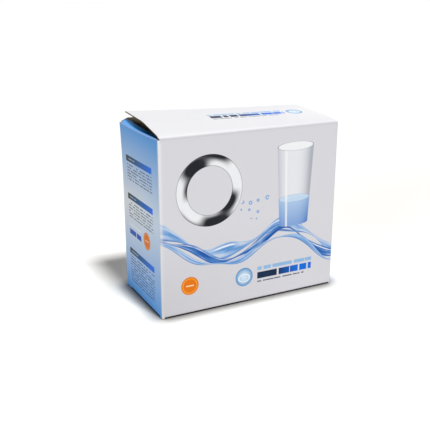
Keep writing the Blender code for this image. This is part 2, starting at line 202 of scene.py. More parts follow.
class Sheet:
    """Folded board as pairs of outer and inner points, in cells that each belong to a piece."""

    def __init__(self):
        self.pairs = {}
        self.flat = {}
        self.cells = {}
        self.flutes = {}

    def place(self, key, outer, inner, flat):
        self.pairs[key] = (Vector(outer), Vector(inner))
        self.flat[key] = (flat[0] * MM, flat[1] * MM, 0.0)

    def cell(self, piece, *keys):
        self.cells.setdefault(piece, []).append(keys)

    def cut(self, piece, chain):
        """Marks a cut edge that runs across the flutes, so that their waves show."""
        self.flutes.setdefault(piece, []).append(chain)

    def borders(self, cells):
        sides = {side: True for keys in cells for side in zip(keys, keys[1:] + keys[:1])}
        return [side for side in sides if (side[1], side[0]) not in sides]

    def inward(self, borders):
        """For each point of the border, the direction along the board away from its cut edge."""
        found = {}
        for start, end in borders:
            outer_start, inner_start = self.pairs[start]
            outer_end, inner_end = self.pairs[end]
            normal = outer_start - inner_start + outer_end - inner_end
            away = normal.cross(outer_end - outer_start + inner_end - inner_start).normalized()
            for key in (start, end):
                found[key] = found.get(key, Vector()) + away
        return {key: away.normalized() for key, away in found.items()}

    def mesh(self, piece):
        cells = self.cells[piece]
        shape = bmesh.new()
        flat = shape.verts.layers.float_vector.new("flat")

        def vertex(key, spot):
            made = shape.verts.new(spot)
            made[flat] = self.flat[key]
            return made

        def face(corners, material):
            made = shape.faces.new(corners)
            made.material_index = material
            made.smooth = True

        used = {key: True for keys in cells for key in keys}
        outer = {key: vertex(key, self.pairs[key][0]) for key in used}
        inner = {key: vertex(key, self.pairs[key][1]) for key in used}
        for keys in cells:
            face([outer[key] for key in keys], OUTSIDE)
            face([inner[key] for key in reversed(keys)], INSIDE)
        borders = self.borders(cells)
        inward = self.inward(borders)
        rim = {}
        for key, away in inward.items():
            outside, inside = self.pairs[key]
            upper = outside.lerp(inside, LINER_SHARE)
            lower = inside.lerp(outside, LINER_SHARE)
            back = away * CHANNEL
            spots = (upper, upper + back, lower + back, lower)
            rim[key] = [outer[key]] + [vertex(key, spot) for spot in spots] + [inner[key]]
        for start, end in borders:
            near, far = rim[start], rim[end]
            for step in range(len(near) - 1):
                face((far[step], near[step], near[step + 1], far[step + 1]), EDGE)
        for chain in self.flutes.get(piece, []):
            self.add_flute([key for key in chain if key in inward], inward, vertex, face)
        data = bpy.data.meshes.new(piece)
        shape.to_mesh(data)
        shape.free()
        return data

    def add_flute(self, chain, inward, vertex, face):
        """The corrugated paper between the liners, as a waved ribbon along a cut edge."""
        rings = []
        walked = 0.0
        for before, after in zip(chain, chain[1:]):
            ends = []
            for key in (before, after):
                outside, inside = self.pairs[key]
                ends.append(((outside + inside) / 2, (outside - inside) / 2, inward[key]))
            (middle, across, away), (middle_b, across_b, away_b) = ends
            length = (middle_b - middle).length
            steps = max(1, round(length / (FLUTE_PITCH / FLUTE_STEPS)))
            for step in range(steps):
                share = step / steps
                wave = FLUTE_CREST * math.cos(math.tau * (walked + share * length) / FLUTE_PITCH)
                towards = across.lerp(across_b, share)
                centre = middle.lerp(middle_b, share) + towards * wave
                back = away.lerp(away_b, share) * CHANNEL
                paper = towards * FLUTE_PAPER
                spots = (centre + paper, centre + paper + back, centre - paper + back, centre - paper)
                rings.append([vertex(before, spot + back * FLUTE_SET_BACK) for spot in spots])
            walked += length
        for ring, following in zip(rings, rings[1:]):
            for corner in range(4):
                turn = (corner + 1) % 4
                face((ring[corner], ring[turn], following[turn], following[corner]), EDGE)
        face(rings[0][::-1], EDGE)
        face(rings[-1], EDGE)


def fold_path(moves):
    """Walks the board's outer face through moves of (length, turn, steps).

    Each sample is (distance walked, p inwards, q onwards, heading).
    """
    walked = 0.0
    heading = 0.0
    p = 0.0
    q = -FOLD_OUTSIDE
    samples = [(walked, p, q, heading)]
    for length, turn, steps in moves:
        half = turn / steps / 2.0
        chord = length / steps
        if abs(half) > 1e-9:
            chord *= math.sin(half) / half
        for _ in range(steps):
            p += math.sin(heading + half) * chord
            q += math.cos(heading + half) * chord
            heading += 2.0 * half
            walked += length / steps
            samples.append((walked, p, q, heading))
    return samples


def crease(turn):
    return (FOLD_OUTSIDE * turn, turn, BEND_STEPS)


def climb(height, degrees):
    """Moves that lift a bottom flap by height into the carton and level it again."""
    angle = math.radians(degrees)
    radius = CLIMB_BEND / angle
    straight = (height - 2.0 * radius * (1.0 - math.cos(angle))) / math.sin(angle)
    return [
        (CLIMB_BEND, angle, CLIMB_STEPS),
        (straight, 0.0, CLIMB_STEPS),
        (CLIMB_BEND, -angle, CLIMB_STEPS),
    ]


def reach_of(moves):
    return fold_path(moves)[-1][1]


EVEN_TRIMS = (FOLD_OUTSIDE, FOLD_OUTSIDE)
SEAM_TRIM = BOARD + FOLD_OUTSIDE


class Panel:
    """One wall: its outer face runs along from start, and folds point inwards from it."""

    def __init__(self, name, start, along, inward, length, stations, lift=0.0, trims=EVEN_TRIMS):
        self.name = name
        self.piece = name + "_panel"
        self.start = Vector(start)
        self.along = Vector(along)
        self.inward = Vector(inward)
        self.length = length
        self.shares = spread(stations, 0.0, 1.0)
        self.start_trim, self.end_trim = trims
        self.lift = lift

    def positions(self, insets):
        """Distances of the columns: an end and a nick at each side, the flap's stations between."""
        stations = [mix(insets[0], self.length - insets[1], share) for share in self.shares]
        last = self.length - self.end_trim
        before = max(self.start_trim + NICK / 4, stations[0] - NICK)
        after = min(last - NICK / 4, stations[-1] + NICK)
        return [self.start_trim, before] + stations + [after, last]

    def point(self, distance, depth, z):
        return self.start + self.along * distance + self.inward * depth + UP * z


FRONT = Panel(
    "front", (-WIDTH / 2, -DEPTH / 2, 0), (1, 0, 0), (0, 1, 0), WIDTH, WIDE_STATIONS, lift=FRONT_LIFT
)
RIGHT = Panel(
    "right", (WIDTH / 2, -DEPTH / 2, 0), (0, 1, 0), (-1, 0, 0), DEPTH, DEEP_STATIONS,
    lift=SIDE_LIFT, trims=(FOLD_OUTSIDE, SEAM_TRIM)
)
BACK = Panel(
    "back", (WIDTH / 2, DEPTH / 2, 0), (-1, 0, 0), (0, -1, 0), WIDTH, WIDE_STATIONS,
    trims=(0.0, FOLD_OUTSIDE)
)
LEFT = Panel(
    "left", (-WIDTH / 2, DEPTH / 2, 0), (0, -1, 0), (1, 0, 0), DEPTH, DEEP_STATIONS, lift=SIDE_LIFT
)


def sprung(point):
    """Moves a point as the left side panel is: out along its top, and up at the rear."""
    height = clamp((point.z - SPRUNG_FROM) / (HEIGHT - SPRUNG_FROM)) ** 2
    side = clamp(-2.0 * point.x / WIDTH) ** 3
    back = clamp(point.y / DEPTH + 0.5)
    out = BULGE * math.sin(math.pi * back) + FLARE * back**2
    return point + Vector((-out, 0.0, REAR_LIFT * back**2)) * (height * side)


def add_column(sheet, key, bottom, top, inward, flat_low, flat_high):
    """One upright column of points. flat_low and flat_high place it across the flat sheet."""
    for row in range(TUBE_ROWS + 1):
        share = row / TUBE_ROWS
        outer = bottom.lerp(top, share)
        flat = (mix(flat_low, flat_high, share), outer.z)
        sheet.place((key, row), sprung(outer), sprung(outer + inward), flat)


def skin(sheet, piece, keys, rows=range(TUBE_ROWS)):
    """Joins neighbouring columns with cells."""
    for pair in zip(keys, keys[1:]):
        for row in rows:
            sheet.cell(piece, *((pair[side], row + up) for side, up in RING))


def corner_columns(sheet, name, centre, before, after, steps, flat_start):
    """Columns of a rounded upright crease, from the outward side before to the side after."""
    keys = []
    for step in steps:
        angle = RIGHT_ANGLE * step / BEND_STEPS
        outward = before * math.cos(angle) + after * math.sin(angle)
        spot = centre + outward * FOLD_OUTSIDE
        flat = flat_start + FOLD_OUTSIDE * angle
        bottom = spot + UP * CORNER_FOOT
        top = spot + UP * CORNER_TOP
        key = (name, "corner", step)
        add_column(sheet, key, bottom, top, -outward * BOARD, flat, flat)
        keys.append(key)
    return keys


def crease_columns(sheet, before, after, steps, flat_start):
    """Columns of the upright crease between two panels."""
    centre = after.start + (before.inward + after.inward) * FOLD_OUTSIDE
    return corner_columns(sheet, after.name, centre, -before.inward, -after.inward, steps, flat_start)


def panel_columns(sheet, panel, top, insets_low, insets_high):
    """The flat columns of one panel. Its bottom and top flaps stand in from its ends by the insets."""
    keys = []
    low = panel.positions(insets_low)
    high = panel.positions(insets_high)
    for column, (foot, head) in enumerate(zip(low, high)):
        key = (panel.name, column)
        corner = column < EDGE_COLUMNS or column >= len(low) - EDGE_COLUMNS
        bottom = panel.point(foot, 0.0, CORNER_FOOT if corner else FOLD_OUTSIDE + panel.lift)
        upper = panel.point(head, 0.0, CORNER_TOP if corner else top(head))
        add_column(sheet, key, bottom, upper, panel.inward * BOARD, foot, head)
        keys.append(key)
    return keys


def front_edge(distance):
    return FRONT_TOP


def side_edge(distance):
    return SIDE_TOP


def back_edge(distance):
    """The back panel's top edge, cut down to the side creases at its two corners."""
    return mix(CORNER_TOP, BACK_TOP, clamp(min(distance, WIDTH - distance) / BACK_CORNER))


def flap_key(panel, upward, station, index):
    """The first sample of a flap is its panel's own edge."""
    if index == 0:
        return ((panel.name, station + EDGE_COLUMNS), TUBE_ROWS if upward else 0)
    return (panel.name, upward, station, index)


def add_flap(sheet, panel, level, upward, paths, across, leave_out=()):
    """Folds a flap from a panel's top or bottom row, with one fold path for each station."""
    sign = 1.0 if upward else -1.0
    last = len(paths) - 1
    rows = len(paths[0]) - 1
    for station, path in enumerate(paths):
        for index, (walked, p, q, heading) in enumerate(path[1:], start=1):
            along = across(walked, panel.shares[station])
            spot = panel.point(along, p, level + sign * q)
            normal = panel.inward * math.cos(heading) - UP * sign * math.sin(heading)
            flat = (along, level + sign * (walked - FOLD_OUTSIDE))
            key = flap_key(panel, upward, station, index)
            sheet.place(key, sprung(spot), sprung(spot + normal * BOARD), flat)
    for station in range(last):
        for index in range(rows):
            if (station, index) in leave_out:
                continue
            corners = [flap_key(panel, upward, station + side, index + up) for side, up in RING]
            if not upward:
                corners.reverse()
            sheet.cell(panel.piece, *corners)
    for station in (0, last):
        sheet.cut(panel.piece, [flap_key(panel, upward, station, index) for index in range(rows + 1)])


def dust_path(rise, slope):
    """A dust flap's section: up or down over its crease, then a bend, then on to its tip."""
    over = crease(math.radians(90.0 - rise))
    bend = (DUST_BEND, math.radians(rise - slope), BEND_STEPS)
    rest = DUST_LENGTH - DUST_HUMP - DUST_BEND
    return fold_path([over, (DUST_HUMP, 0.0, HUMP_ROWS), bend, (rest, 0.0, DUST_ROWS)])


def dust_edges(walked):
    """How far a dust flap's edges stand in from the front and from the back."""
    share = clamp(walked / DUST_LENGTH)
    front = DUST_FRONT_INSET + DUST_FRONT_TAPER * share
    past = walked - FOLD_OUTSIDE * RIGHT_ANGLE
    shoulder = clamp((past / DUST_SHOULDER - DUST_SHOULDER_STARTS) / (1.0 - DUST_SHOULDER_STARTS))
    rear = mix(DUST_REAR_INSET, DUST_REAR_CUT, shoulder) + DUST_REAR_TAPER * share * shoulder
    return front, rear


def side_across(panel, edges):
    """Places a flap between its front and rear edges. The left panel runs from its rear."""

    def across(walked, share):
        starts, ends = edges(walked) if panel is RIGHT else edges(walked)[::-1]
        return mix(starts, DEPTH - ends, share)

    return across


def add_dust_flaps(sheet):
    right = [dust_path(*RIGHT_DUST)] * DEEP_STATIONS
    add_flap(sheet, RIGHT, SIDE_CREASE, True, right, side_across(RIGHT, dust_edges))
    left = []
    for front_share in LEFT.shares:
        back_share = (1.0 - front_share) ** 2
        rise = mix(LEFT_DUST_FRONT[0], LEFT_DUST_REAR[0], back_share)
        slope = mix(LEFT_DUST_FRONT[1], LEFT_DUST_REAR[1], back_share)
        left.append(dust_path(rise, slope))
    add_flap(sheet, LEFT, SIDE_CREASE, True, left, side_across(LEFT, dust_edges))


TONGUE_BODY = DEPTH / 2 + TONGUE_BODY_PAST_MIDDLE
TONGUE_LIFT = climb(3 * LEVEL, TONGUE_CLIMB)
DIP = math.asin(FRONT_LIFT / DIP_LENGTH)
TONGUE_DIP = [crease(RIGHT_ANGLE - DIP), (DIP_LENGTH, 0.0, DIP_STEPS), (DIP_BEND, DIP, DIP_STEPS)]
TONGUE_LEVEL = TONGUE_BODY - TONGUE_SHOULDER - reach_of(TONGUE_DIP)
TONGUE_FLAT = TONGUE_DIP + [(TONGUE_LEVEL, 0.0, TONGUE_ROWS), (TONGUE_SHOULDER, 0.0, 1)]
TONGUE_BEND = reach_of(TONGUE_FLAT + TONGUE_LIFT)
YOKE_LIFT = [crease(RIGHT_ANGLE)] + climb(2 * LEVEL, YOKE_CLIMB)
YOKE_EDGE = DEPTH - TONGUE_BEND - TONGUE_CLEAR


def add_tongue_flap(sheet):
    """The front bottom flap: a flat body on the ground, and a tongue that rides over the yoke."""
    path = fold_path(TONGUE_FLAT + TONGUE_LIFT + [(TONGUE_REACH, 0.0, TONGUE_TIP_ROWS)])
    body_row = BEND_STEPS + 2 * DIP_STEPS + TONGUE_ROWS
    body_ends = path[body_row][0]
    tongue_starts = path[body_row + 1][0]
    tongue_ends = path[-1][0]

    def half_width(walked):
        if walked <= body_ends:
            corner = clamp((walked - FOLD_OUTSIDE) / TONGUE_BODY_CORNER)
            return WIDTH / 2 - mix(BOTTOM_INSET, TONGUE_BODY_INSET, corner)
        share = clamp((walked - tongue_starts) / (tongue_ends - tongue_starts))
        return mix(TONGUE_HALF_WIDTH, TONGUE_TIP_HALF_WIDTH, share)

    def across(walked, share):
        half = half_width(walked)
        return WIDTH / 2 + mix(-half, half, share)

    add_flap(sheet, FRONT, FRONT_LIFT, False, [path] * WIDE_STATIONS, across)


def add_yoke_flap(sheet):
    """The back bottom flap: two shoulders over the side flaps, cut back between for the tongue."""
    shoulder_reach = DEPTH / 2 + YOKE_LAP
    lifted = reach_of(YOKE_LIFT)
    moves = [(YOKE_EDGE - lifted, 0.0, YOKE_ROWS), (shoulder_reach - YOKE_EDGE, 0.0, YOKE_CUT_ROWS)]
    path = fold_path(YOKE_LIFT + moves)
    edge_walked = path[-1 - YOKE_CUT_ROWS][0]
    end_walked = path[-1][0]
    first = round(YOKE_SHOULDER * (WIDE_STATIONS - 1))
    last = WIDE_STATIONS - 1 - first

    def across(walked, share):
        side = clamp(walked / lifted)
        outer = WIDTH / 2 - mix(BOTTOM_INSET, YOKE_SIDE_CLEAR, side)
        opened = clamp((walked - edge_walked) / (end_walked - edge_walked))
        gap = YOKE_HALF_GAP + YOKE_MOUTH * opened
        even = outer * (1.0 - 2.0 * YOKE_SHOULDER)
        inner = mix(even, gap, clamp(walked / edge_walked))
        if share < YOKE_SHOULDER:
            return WIDTH / 2 - mix(outer, inner, share / YOKE_SHOULDER)
        if share > 1.0 - YOKE_SHOULDER:
            return WIDTH / 2 + mix(outer, inner, (1.0 - share) / YOKE_SHOULDER)
        centre = (share - YOKE_SHOULDER) / (1.0 - 2.0 * YOKE_SHOULDER)
        return WIDTH / 2 + mix(-inner, inner, centre)

    rows = len(path) - 1
    cut_rows = range(rows - YOKE_CUT_ROWS, rows)
    cut = {(station, row) for station in range(first, last) for row in cut_rows}
    add_flap(sheet, BACK, 0.0, False, [path] * WIDE_STATIONS, across, cut)


def add_side_flaps(sheet):
    """The two side bottom flaps, between the tongue flap's body and the yoke's shoulders."""
    lift = [crease(RIGHT_ANGLE)] + climb(LEVEL - SIDE_LIFT, SIDE_CLIMB)
    path = fold_path(lift + [(SIDE_LENGTH - reach_of(lift), 0.0, SIDE_ROWS)])
    end = path[-1][0]

    def edges(walked):
        return SIDE_FRONT_INSET, SIDE_REAR_INSET + SIDE_REAR_TAPER * clamp(walked / end) ** 2

    for panel in (RIGHT, LEFT):
        add_flap(sheet, panel, SIDE_LIFT, False, [path] * DEEP_STATIONS, side_across(panel, edges))


def seam_tab(sheet):
    """The right panel's far end: round the corner, and on as a tab glued inside the back panel."""
    centre = Vector((WIDTH / 2 - FOLD_OUTSIDE, DEPTH / 2 - BOARD - GLUE - FOLD_OUTSIDE, 0))
    flat = DEPTH - SEAM_TRIM
    turned = range(1, BEND_STEPS + 1)
    keys = corner_columns(sheet, "seam", centre, -RIGHT.inward, RIGHT.along, turned, flat)
    tab_length = TAB_WIDTH - FOLD_OUTSIDE
    for step in range(1, TAB_COLUMNS + 1):
        share = step / TAB_COLUMNS
        spot = centre + Vector((-tab_length * share, FOLD_OUTSIDE, 0))
        slant = FOLD_OUTSIDE + tab_length * share * TAB_SLANT
        key = ("tab", step)
        along = flat + FOLD_OUTSIDE * RIGHT_ANGLE + tab_length * share
        bottom = spot + UP * (CORNER_FOOT + slant)
        top = spot + UP * (CORNER_TOP - slant)
        add_column(sheet, key, bottom, top, Vector((0, -BOARD, 0)), along, along)
        keys.append(key)
    return keys


def build_walls(sheet):
    """The tube of four panels with its flaps. Returns the front panel's columns, for the lid."""
    even = (BOTTOM_INSET, BOTTOM_INSET)
    low = (SIDE_FRONT_INSET, SIDE_REAR_INSET)
    high = (DUST_FRONT_INSET, DUST_REAR_INSET)
    turn = FOLD_OUTSIDE * RIGHT_ANGLE

    front = panel_columns(sheet, FRONT, front_edge, even, even)
    leading = crease_columns(sheet, LEFT, FRONT, range(BEND_STEPS), FOLD_OUTSIDE - turn)
    trailing = crease_columns(sheet, FRONT, RIGHT, range(1, BEND_STEPS + 1), WIDTH - FOLD_OUTSIDE)
    skin(sheet, FRONT.piece, leading + front[:1])
    skin(sheet, FRONT.piece, front, range(TUBE_ROWS - 1))
    skin(sheet, FRONT.piece, front[-1:] + trailing)

    right = panel_columns(sheet, RIGHT, side_edge, low, high)
    skin(sheet, RIGHT.piece, right + seam_tab(sheet))

    back = panel_columns(sheet, BACK, back_edge, even, even)
    skin(sheet, BACK.piece, back)
    sheet.cut(BACK.piece, [(back[0], row) for row in range(TUBE_ROWS + 1)])

    left = panel_columns(sheet, LEFT, side_edge, low[::-1], high[::-1])
    rear = crease_columns(sheet, BACK, LEFT, range(BEND_STEPS), FOLD_OUTSIDE - turn)
    skin(sheet, LEFT.piece, rear + left)

    add_dust_flaps(sheet)
    add_tongue_flap(sheet)
    add_yoke_flap(sheet)
    add_side_flaps(sheet)
    return front


def lid_slope(share, along):
    """Slope of the lid in degrees, share of the way from left to right, along from front to back."""
    held = clamp((LEFT_KICK_ENDS - along) / (LEFT_KICK_ENDS - LEFT_KICK_FALLS))
    left = LEFT_RISE + LEFT_KICK * held**2 * (3.0 - 2.0 * held)
    left += LEFT_SPRING * clamp(1.0 - along / LEFT_SPRING_ENDS) ** 2
    kick = RIGHT_KICK * clamp(1.0 - along / RIGHT_KICK_ENDS) ** 2
    drop = RIGHT_DROP * clamp((along - RIGHT_DROP_STARTS) / (1.0 - RIGHT_DROP_STARTS))
    right = RIGHT_RISE + kick - drop
    return math.radians(mix(left, right, clamp(share) ** TWIST_POWER))


def lid_path(share, lid_length):
    """The lid's section: over the hinge crease, along the bowed top, and down into the tuck."""
    slopes = [lid_slope(share, row / LID_ROWS) for row in range(LID_ROWS + 1)]
    moves = [crease(RIGHT_ANGLE - slopes[0])]
    for before, after in zip(slopes, slopes[1:]):
        moves.append((lid_length / LID_ROWS, before - after, 1))
    moves.append(crease(RIGHT_ANGLE + slopes[-1] + math.radians(TUCK_LEAN)))
    moves.append((TUCK_LENGTH, 0.0, TUCK_ROWS))
    return fold_path(moves)


def tuck_inset(share):
    """How far the tuck's end stands in, a share of the way down it: slanted, with a round corner."""
    late = clamp((share - TUCK_CORNER_STARTS) / (1.0 - TUCK_CORNER_STARTS))
    return TUCK_INSET + TUCK_TAPER * share + TUCK_CORNER * (1.0 - math.sqrt(1.0 - late**2))


def lid_x(column, last, edge, shoulder):
    """Columns run from the lid's left edge, through the tuck's two ends, to its right edge."""
    if column < RIM_COLUMNS:
        return -WIDTH / 2 + mix(edge, shoulder, column / RIM_COLUMNS)
    if column > last - RIM_COLUMNS:
        return WIDTH / 2 - mix(edge, shoulder, (last - column) / RIM_COLUMNS)
    half = WIDTH / 2 - shoulder
    return mix(-half, half, (column - RIM_COLUMNS) / (last - 2 * RIM_COLUMNS))


def build_lid(sheet, front):
    """The hinge crease, the lid and its tuck, from the front panel's own columns."""
    skin(sheet, "hinge_crease", front, range(TUBE_ROWS - 1, TUBE_ROWS))
    top_length = DEPTH - BOARD - LID_REAR_CLEAR - 2 * FOLD_OUTSIDE
    lid_row = BEND_STEPS
    tuck_row = lid_row + LID_ROWS
    rows = tuck_row + BEND_STEPS + TUCK_ROWS + 1
    last = len(front) - 1
    starts = FRONT.positions((BOTTOM_INSET, BOTTOM_INSET))
    for column in range(last + 1):
        final_x = lid_x(column, last, LID_REAR_INSET, TUCK_INSET)
        path = lid_path(final_x / WIDTH + 0.5, top_length)
        tuck_start = path[tuck_row][0]
        tuck_end = path[-1][0]
        free = column < RIM_COLUMNS or column > last - RIM_COLUMNS
        for row, (walked, p, q, heading) in enumerate(path):
            over = clamp(walked / tuck_start)
            shoulder = TUCK_INSET
            if row > tuck_row:
                shoulder = tuck_inset((walked - tuck_start) / (tuck_end - tuck_start))
            edge = mix(mix(FOLD_OUTSIDE, LID_SIDE_INSET, clamp(row / lid_row)), LID_REAR_INSET, over)
            x = mix(starts[column] - WIDTH / 2, lid_x(column, last, edge, shoulder), over)
            if column in (0, last):
                x = lid_x(column, last, edge, shoulder)
            spot = Vector((x, -DEPTH / 2 + p, HEIGHT + q))
            if row == tuck_row and free:
                spot += Vector((0.0, math.sin(heading), math.cos(heading))) * FOLD_OUTSIDE
            normal = Vector((0.0, math.cos(heading), -math.sin(heading)))
            flat = (x + WIDTH / 2, FRONT_TOP + walked)
            sheet.place(("lid", column, row), spot, spot + normal * BOARD, flat)

    def lid_key(column, row):
        return (front[column], TUBE_ROWS) if row < 0 else ("lid", column, row)

    for column in range(last):
        for row in range(-1, rows - 1):
            if row >= tuck_row and (column < RIM_COLUMNS or column >= last - RIM_COLUMNS):
                continue
            piece = "hinge_crease" if row < lid_row + HINGE_ROWS else "lid_panel"
            sheet.cell(piece, *(lid_key(column + side, row + up) for side, up in RING))
    hinge_row = lid_row + HINGE_ROWS
    cuts = (
        ("lid_panel", (0, last), range(hinge_row, tuck_row + 1)),
        ("hinge_crease", (0, last), range(lid_row, hinge_row + 1)),
        ("lid_panel", (RIM_COLUMNS, last - RIM_COLUMNS), range(tuck_row + 1, rows)),
    )
    for piece, columns, cut_rows in cuts:
        for column in columns:
            sheet.cut(piece, [lid_key(column, row) for row in cut_rows])


# Places of a colour mix's sockets, which share their names with those of its other kinds
MIX_UNDER = 6
MIX_OVER = 7
MIX_COLOUR = 2

# How soft the ink's edges are, in millimetres and in shares of a line's pitch
INK_EDGE = 0.15
LINE_EDGE = 0.05

# Scales of the noise that breaks lines and bars into words
WORD_SCALE = 0.33
ROW_SCALE = 7.7
PART_SCALE = 0.30

VARNISH_ROUGH = 0.39
VARNISH_SHINE = 0.09
RELIEF_DEPTH = 0.001


def srgb(red, green, blue):
    """A printed tone given as 0 to 255 on screen."""
    tones = []
    for tone in (red, green, blue):
        tone /= 255.0
        tones.append(tone / 12.92 if tone <= 0.04045 else ((tone + 0.055) / 1.055) ** 2.4)
    return (*tones, 1.0)


def feed(tree, slot, value):
    """Gives a node's input its value: a Term, another node's socket or a constant."""
    if isinstance(value, Term):
        tree.links.new(value.socket, slot)
    elif isinstance(value, bpy.types.NodeSocket):
        tree.links.new(value, slot)
    else:
        slot.default_value = value


def add_node(tree, kind, values):
    """Adds a shader node. values gives its inputs by their names or numbers."""
    node = tree.nodes.new("ShaderNode" + kind)
    for key, value in values.items():
        feed(tree, node.inputs[key], value)
    return node


class Term:
    """A number in a shader, so that a print can be written as formulas."""

    def __init__(self, tree, socket):
        self.tree = tree
        self.socket = socket

    def do(self, operation, *others):
        node = add_node(self.tree, "Math", dict(enumerate((self,) + others)))
        node.operation = operation
        return Term(self.tree, node.outputs["Value"])

    def __add__(self, other):
        return self.do("ADD", other)

    def __sub__(self, other):
        return self.do("SUBTRACT", other)

    def __rsub__(self, other):
        return self.do("MULTIPLY_ADD", -1.0, other)

    def __mul__(self, other):
        return self.do("MULTIPLY", other)

    def __truediv__(self, other):
        return self.do("DIVIDE", other)

    def __pow__(self, other):
        return self.do("POWER", other)

    def __abs__(self):
        return self.do("ABSOLUTE")

    def least(self, other):
        return self.do("MINIMUM", other)

    def most(self, other):
        return self.do("MAXIMUM", other)

    def wave(self, period, phase=0.0):
        """A sine of -1 to 1 with this period."""
        return (self * (math.tau / period) + phase).do("SINE")

    def ramp(self, low, high, smooth=False):
        """0 below low, 1 above high. low may be above high."""
        node = add_node(self.tree, "MapRange", {"Value": self, "From Min": low, "From Max": high})
        node.interpolation_type = "SMOOTHSTEP" if smooth else "LINEAR"
        return Term(self.tree, node.outputs["Result"])


def split(tree, vector):
    """The first two numbers of a vector."""
    node = add_node(tree, "SeparateXYZ", {"Vector": vector})
    return Term(tree, node.outputs["X"]), Term(tree, node.outputs["Y"])


def join(tree, across, up):
    return add_node(tree, "CombineXYZ", {"X": across, "Y": up}).outputs["Vector"]


class Print:
    """A printed, varnished face of the board, painted in layers over its ground."""

    def __init__(self, name):
        self.material = bpy.data.materials.new(name)
        self.material.use_nodes = True
        self.tree = self.material.node_tree
        self.shader = self.tree.nodes["Principled BSDF"]
        place = add_node(self.tree, "Attribute", {})
        place.attribute_name = "flat"
        self.u, self.v = split(self.tree, place.outputs["Vector"])
        self.colour = None

    def blend(self, under, over, share):
        """Mixes two colours, each a tone or a socket."""
        node = add_node(self.tree, "Mix", {"Factor": share})
        node.data_type = "RGBA"
        feed(self.tree, node.inputs[MIX_UNDER], under)
        feed(self.tree, node.inputs[MIX_OVER], over)
        return node.outputs[MIX_COLOUR]

    def paint(self, colour, share):
        self.colour = self.blend(self.colour, colour, share)

    def noise(self, scale_u, scale_v, detail=2.0, up=None, shift=0.0):
        """Smooth noise of 0 to 1 over the print. The scales are in features for each millimetre."""
        up = self.v if up is None else up
        place = join(self.tree, self.u * scale_u + shift, up * scale_v)
        node = add_node(self.tree, "TexNoise", {"Vector": place, "Scale": 1.0, "Detail": detail})
        node.noise_dimensions = "2D"
        return Term(self.tree, node.outputs["Fac"])

    def distance(self, u, v, squeeze=1.0):
        """Distance from a point. squeeze above 1 flattens the circle into an ellipse."""
        return ((self.u - u) ** 2.0 + ((self.v - v) * squeeze) ** 2.0).do("SQRT")

    def disc(self, u, v, radius):
        return self.distance(u, v).ramp(radius + INK_EDGE, radius - INK_EDGE)

    def box(self, left, low, right, high):
        across = abs(self.u - (left + right) / 2) - (right - left) / 2
        up = abs(self.v - (low + high) / 2) - (high - low) / 2
        return across.most(up).ramp(INK_EDGE, -INK_EDGE)

    def lines(self, left, low, right, high, pitch, weight, seed):
        """A block of thin bars, broken at random into lengths as of words."""
        place = (self.v - low) / pitch
        row = place.do("FLOOR")
        half = weight / 2
        bar = abs(place.do("FRACT") - 0.5).ramp(half + LINE_EDGE, half - LINE_EDGE)
        words = self.noise(WORD_SCALE, ROW_SCALE, 0.0, up=row, shift=seed).ramp(0.36, 0.40)
        return bar * words * self.box(left, low, right, high)

    def word_bar(self, left, low, right, high, seed):
        """A heavy bar cut into a few parts, of the weight of a printed title."""
        parts = self.noise(PART_SCALE, 0.0, 0.0, shift=seed).ramp(0.33, 0.37)
        return self.box(left, low, right, high) * parts

    def paint_foot_shade(self):
        """Painted shade: the bottom crease darkened, standing in for the shadow in the gap under the
        foot.
        """
        self.paint(srgb(66, 64, 62), self.v.ramp(0.9, -0.4) * self.v.ramp(-6.0, -4.0) * 0.85)

    def finish(self, wear):
        """Varnish, faint scuffs, the flutes' washboard, and wear where the mask says."""
        scuff = self.noise(0.055, 0.035, 4.0, shift=31.0)
        rub = self.noise(0.5, 0.5, 3.0, shift=57.0).ramp(0.30, 0.62)
        self.paint(srgb(255, 255, 255), scuff.ramp(0.50, 0.85) * 0.02)
        self.paint(srgb(238, 240, 243), wear * (rub * 0.6 + 0.4))
        rough = scuff * 0.10 + VARNISH_ROUGH + wear * 0.2
        grain = self.noise(1.4, 1.4, 2.0, shift=11.0)
        swell = self.noise(0.03, 0.03, 1.0, shift=5.0)
        height = self.washboard() * 0.03 + grain * 0.012 + swell * 0.30
        return self.coat(rough, VARNISH_SHINE, height, 0.10)

    def washboard(self):
        """The flutes, showing through the paper."""
        return self.v.wave(FLUTE_PITCH * MM)

    def coat(self, rough, shine, height, relief):
        """Gives the shader the colour, how rough and shiny it is, and its relief."""
        values = {"Height": height, "Strength": relief, "Distance": RELIEF_DEPTH}
        bump = add_node(self.tree, "Bump", values)
        values = {
            "Base Color": self.colour,
            "Roughness": rough,
            "Specular IOR Level": shine,
            "Normal": bump.outputs["Normal"],
        }
        for name, value in values.items():
            feed(self.tree, self.shader.inputs[name], value)
        return self.material


GROUND = srgb(224, 223, 228)
LOW_GREY = srgb(207, 206, 210)
LID_WHITE = srgb(230, 230, 233)
DUST_FLAP_LIT_BLUE = srgb(24, 164, 255)
CREASE_SHADE_BLUE = srgb(62, 134, 206)
PALE_BLUE = srgb(150, 190, 228)
SKY_BLUE = srgb(96, 152, 214)
DEEP_BLUE = srgb(28, 84, 168)
NAVY = srgb(22, 44, 74)
BRIGHT_BLUE = srgb(20, 112, 222)
ORANGE = srgb(236, 122, 24)
AMBER = srgb(246, 170, 60)
TEXT_GREY = srgb(96, 104, 116)
TEXT_DARK = srgb(58, 64, 74)
CHROME_DARK = srgb(34, 36, 42)
CHROME_LIGHT = srgb(246, 247, 250)


